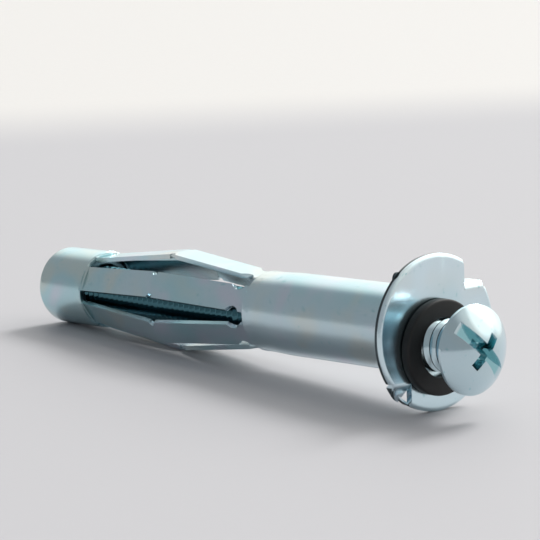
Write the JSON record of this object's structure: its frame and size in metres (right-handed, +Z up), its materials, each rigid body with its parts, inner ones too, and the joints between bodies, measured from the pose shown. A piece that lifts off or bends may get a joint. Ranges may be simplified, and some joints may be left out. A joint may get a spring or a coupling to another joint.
{
  "type": "hollow wall anchor",
  "caption": "Slotted sheet-metal sleeve with creased legs, clawed flange, captive nut bush, pan-head screw and loose washer, for fixing to hollow walls.",
  "frame": {"origin": "centre of the flange's back face, where the sleeve enters the wall", "axes": "+X towards the screw head as it lies at rest, +Z up from the surface it lies on; the sleeve's axis dips by 3.29 degrees towards its far end"},
  "size_m": [0.0753, 0.017, 0.017],
  "materials": {
    "zinc_sleeve": "blue passivated zinc, satin",
    "zinc_flange": "blue passivated zinc, semi-bright",
    "zinc_nut": "blue passivated zinc, satin",
    "zinc_screw": "blue passivated zinc, bright",
    "washer": "matt black"
  },
  "bodies": {
    "shell": {"sleeve": "zinc_sleeve", "flange": "zinc_flange", "nut": "zinc_nut"},
    "washer": {"washer": "washer"},
    "screw": {"screw": "zinc_screw"}
  },
  "joints": [
    {"name": "screw_turn", "type": "hinge", "parent": "shell", "child": "washer", "pos_m": [-0.0621, 0, -0.00357], "axis": [0.9992, -0.0054, 0.0387], "range_deg": [-1440, 1440]},
    {"name": "screw_travel", "type": "slide", "parent": "washer", "child": "screw", "axis": [0.9992, -0.0054, 0.0387], "range_m": [-0.004, 0.004]}
  ],
  "couplings": [
    {"joint": "screw_turn", "follows": "screw_travel", "rad_per_m": 6283.2}
  ]
}
